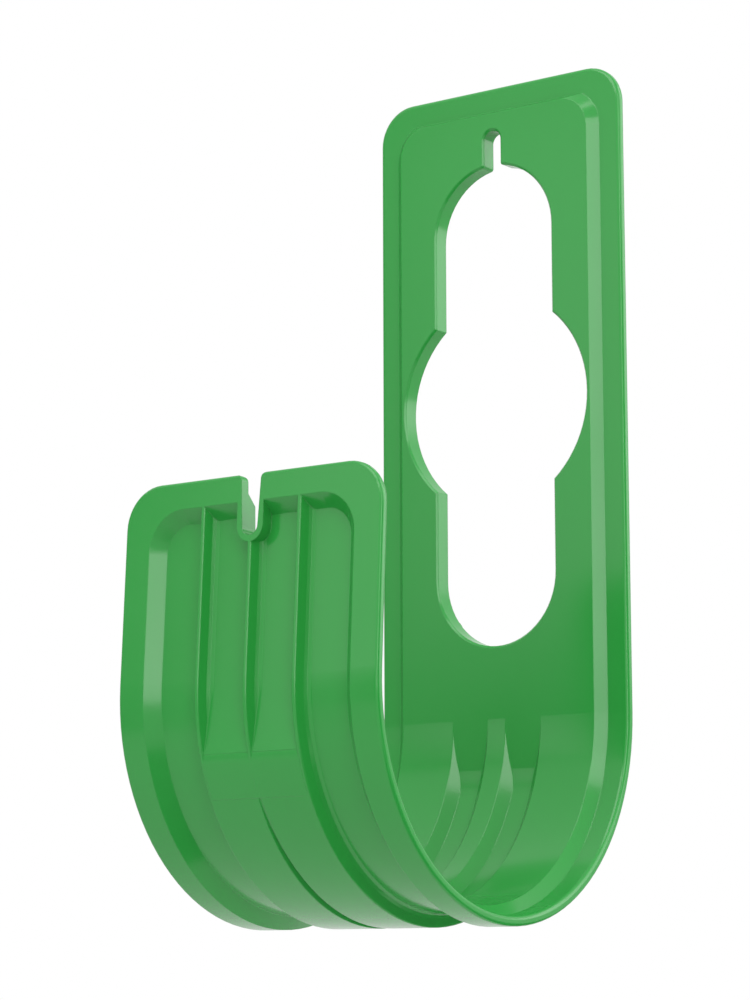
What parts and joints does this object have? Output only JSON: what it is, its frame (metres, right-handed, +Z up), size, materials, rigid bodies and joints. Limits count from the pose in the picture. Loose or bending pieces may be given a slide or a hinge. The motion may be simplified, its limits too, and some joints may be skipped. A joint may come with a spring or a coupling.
{
  "type": "hose_hanger",
  "caption": "Moulded plastic hose hanger: a wide strip bent into a J, with a slotted wall plate that hangs on a nail or over a tap and a ribbed lip that keeps a coiled hose in its cradle",
  "frame": {"origin": "centre of the nail slot's round top, on the wall plane", "axes": "+Z up, +Y towards the wall, +X to the right for someone who faces the wall"},
  "size_m": [0.09, 0.127, 0.2622],
  "materials": {
    "green_plastic": "glossy moulded plastic, slightly soft reflections"
  },
  "bodies": {
    "root": {"hose_hanger": "green_plastic"}
  },
  "joints": []
}
